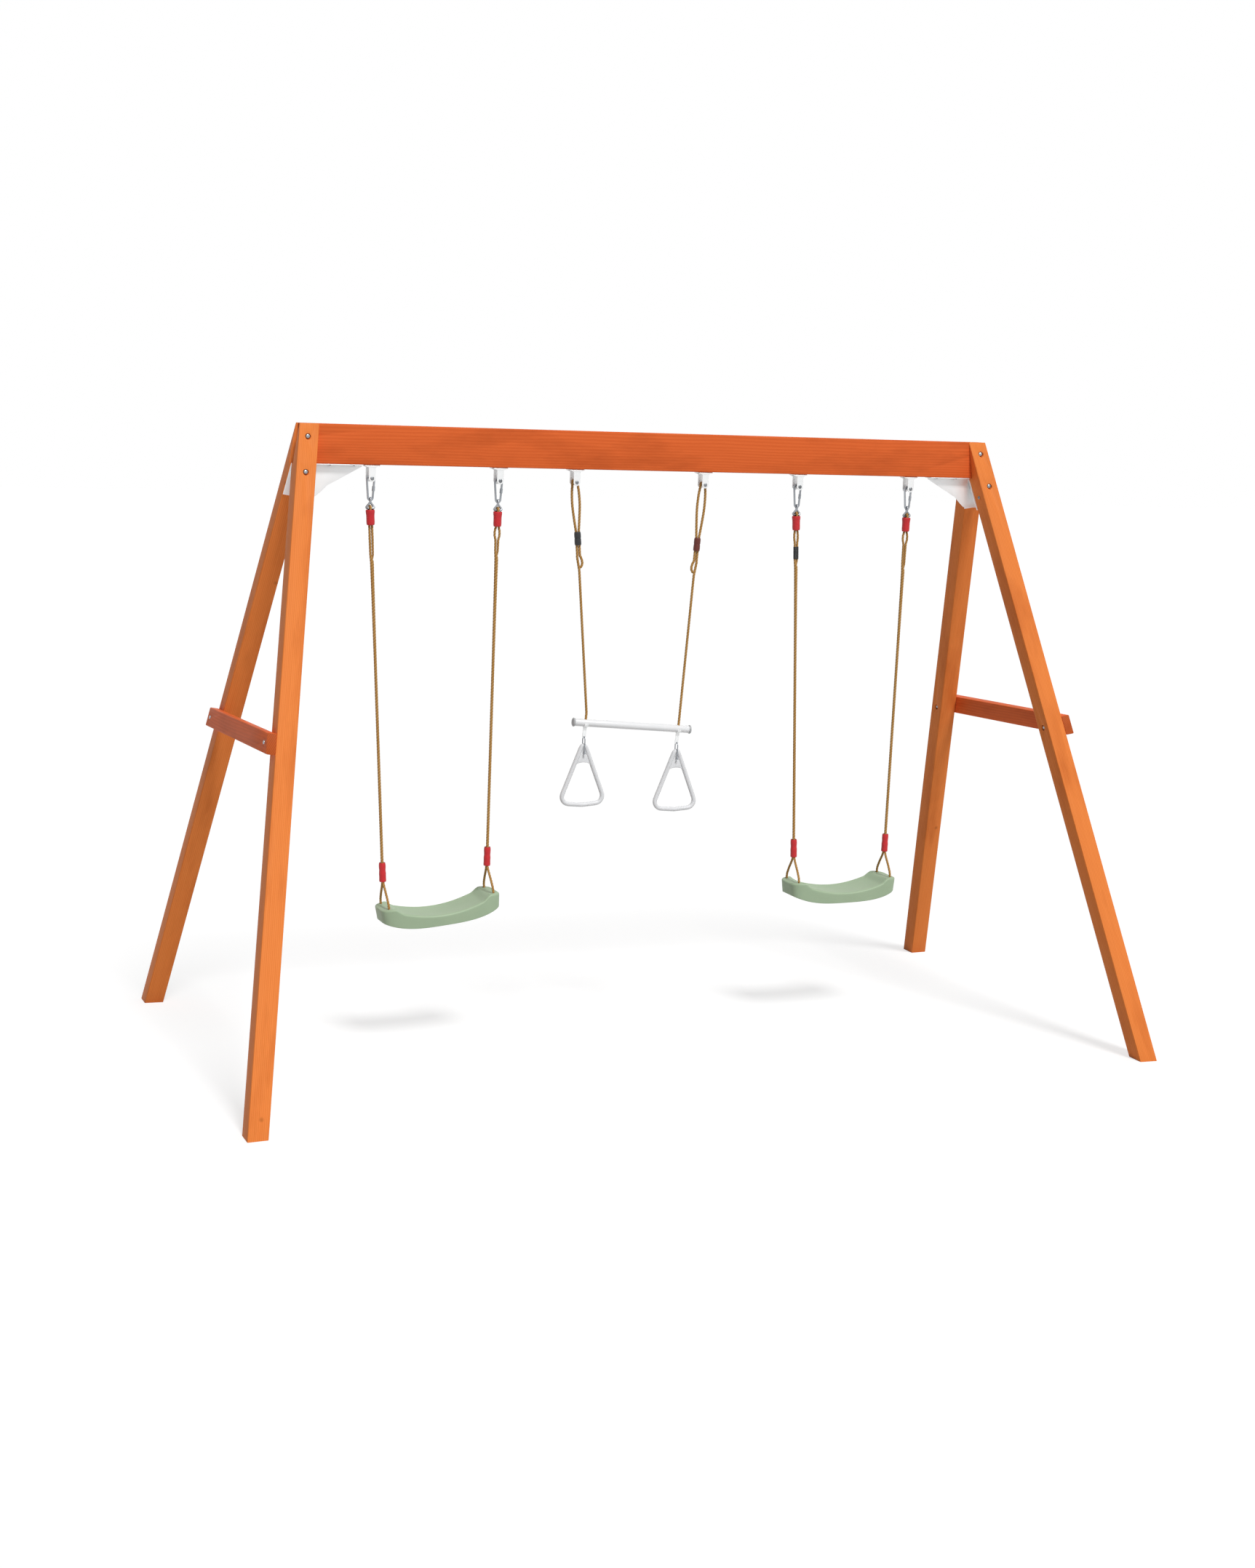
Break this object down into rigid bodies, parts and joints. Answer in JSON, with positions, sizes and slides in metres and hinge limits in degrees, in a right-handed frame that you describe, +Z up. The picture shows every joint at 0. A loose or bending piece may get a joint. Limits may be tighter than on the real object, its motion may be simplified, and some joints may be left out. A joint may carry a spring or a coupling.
{
  "type": "wooden swing set",
  "caption": "Free-standing timber A-frame swing set with rope swings, a rope trapeze bar and hanging triangular gym rings.",
  "frame": {"origin": "on the floor, midway between the feet, under the middle of the top beam", "axes": "+X along the top beam to the right, +Y to the rear, +Z up; the front faces -Y"},
  "size_m": [3.2102, 1.7096, 2.1],
  "materials": {
    "timber": "orange-brown stained planed softwood",
    "white_steel": "white powder coat",
    "zinc": "bright zinc plating",
    "rope": "tan twisted rope",
    "red_sleeve": "red moulded plastic",
    "black_sleeve": "black moulded plastic",
    "brown_sleeve": "red-brown moulded plastic",
    "sage_seat": "sage-green moulded plastic",
    "ring_plastic": "white moulded plastic",
    "grey_cap": "light grey moulded plastic"
  },
  "bodies": {
    "frame": {"top_beam": "timber", "leg_front_left": "timber", "leg_front_right": "timber", "leg_rear_left": "timber", "leg_rear_right": "timber", "brace_left": "timber", "brace_right": "timber", "corner_bracket_left": "white_steel", "corner_bracket_right": "white_steel", "hanger_left_swing_left": "white_steel", "hanger_left_swing_right": "white_steel", "hanger_right_swing_left": "white_steel", "hanger_right_swing_right": "white_steel", "hanger_trapeze_left": "white_steel", "hanger_trapeze_right": "white_steel", "apex_bolt_left_upper": "zinc", "apex_bolt_left_lower": "zinc", "apex_bolt_right_upper": "zinc", "apex_bolt_right_lower": "zinc", "brace_bolt_front_left": "zinc", "brace_bolt_front_right": "zinc", "brace_bolt_rear_left": "zinc", "brace_bolt_rear_right": "zinc"},
    "left_swing_links": {"left_swing_screw_link_left": "zinc", "left_swing_screw_link_right": "zinc"},
    "left_swing_ropes_and_seat": {"left_swing_seat": "sage_seat", "left_swing_rope_ring_left": "zinc", "left_swing_rope_ring_right": "zinc", "left_swing_upper_sleeve_left": "red_sleeve", "left_swing_upper_sleeve_right": "red_sleeve", "left_swing_rope_left": "rope", "left_swing_rope_right": "rope", "left_swing_lower_sleeve_left": "red_sleeve", "left_swing_lower_sleeve_right": "red_sleeve"},
    "right_swing_links": {"right_swing_screw_link_left": "zinc", "right_swing_screw_link_right": "zinc"},
    "right_swing_ropes_and_seat": {"right_swing_seat": "sage_seat", "right_swing_rope_ring_left": "zinc", "right_swing_rope_ring_right": "zinc", "right_swing_upper_sleeve_left": "red_sleeve", "right_swing_upper_sleeve_right": "red_sleeve", "right_swing_rope_left": "rope", "right_swing_rope_right": "rope", "right_swing_lower_sleeve_left": "red_sleeve", "right_swing_lower_sleeve_right": "red_sleeve"},
    "trapeze": {"trapeze_bar": "white_steel", "trapeze_rope_left": "rope", "trapeze_rope_right": "rope", "trapeze_sleeve_left": "black_sleeve", "trapeze_sleeve_right": "brown_sleeve", "bar_end_cap_left": "grey_cap", "bar_end_cap_right": "grey_cap", "ring_strap_left": "white_steel", "ring_strap_right": "white_steel"},
    "left_ring_shackle": {"ring_shackle_left": "zinc"},
    "left_gym_ring": {"gym_ring_left": "ring_plastic"},
    "right_ring_shackle": {"ring_shackle_right": "zinc"},
    "right_gym_ring": {"gym_ring_right": "ring_plastic"}
  },
  "joints": [
    {"name": "left_swing_links_on_pins", "type": "hinge", "parent": "frame", "child": "left_swing_links", "pos_m": [-0.798, 0, 1.9358], "axis": [1, 0, 0], "range_deg": [-30, 30]},
    {"name": "left_swing_ropes_on_links", "type": "hinge", "parent": "left_swing_links", "child": "left_swing_ropes_and_seat", "pos_m": [-0.798, 0, 1.8568], "axis": [1, 0, 0], "range_deg": [-35, 35]},
    {"name": "right_swing_links_on_pins", "type": "hinge", "parent": "frame", "child": "right_swing_links", "pos_m": [0.75, 0, 1.9358], "axis": [1, 0, 0], "range_deg": [-30, 30]},
    {"name": "right_swing_ropes_on_links", "type": "hinge", "parent": "right_swing_links", "child": "right_swing_ropes_and_seat", "pos_m": [0.75, 0, 1.8568], "axis": [1, 0, 0], "range_deg": [-35, 35]},
    {"name": "trapeze_on_pins", "type": "hinge", "parent": "frame", "child": "trapeze", "pos_m": [-0.0695, 0, 1.93685], "axis": [1, 0, 0], "range_deg": [-28, 28]},
    {"name": "left_shackle_in_strap", "type": "hinge", "parent": "trapeze", "child": "left_ring_shackle", "pos_m": [-0.24385, 0, 1.04663], "axis": [1, 0, 0], "range_deg": [-40, 40]},
    {"name": "left_ring_on_shackle_pin", "type": "hinge", "parent": "left_ring_shackle", "child": "left_gym_ring", "pos_m": [-0.24385, 0, 1.00223], "axis": [0, 1, 0], "range_deg": [-35, 35]},
    {"name": "right_shackle_in_strap", "type": "hinge", "parent": "trapeze", "child": "right_ring_shackle", "pos_m": [0.10503, 0, 1.01869], "axis": [1, 0, 0], "range_deg": [-40, 40]},
    {"name": "right_ring_on_shackle_pin", "type": "hinge", "parent": "right_ring_shackle", "child": "right_gym_ring", "pos_m": [0.10503, 0, 0.97429], "axis": [0, 1, 0], "range_deg": [-35, 35]}
  ]
}
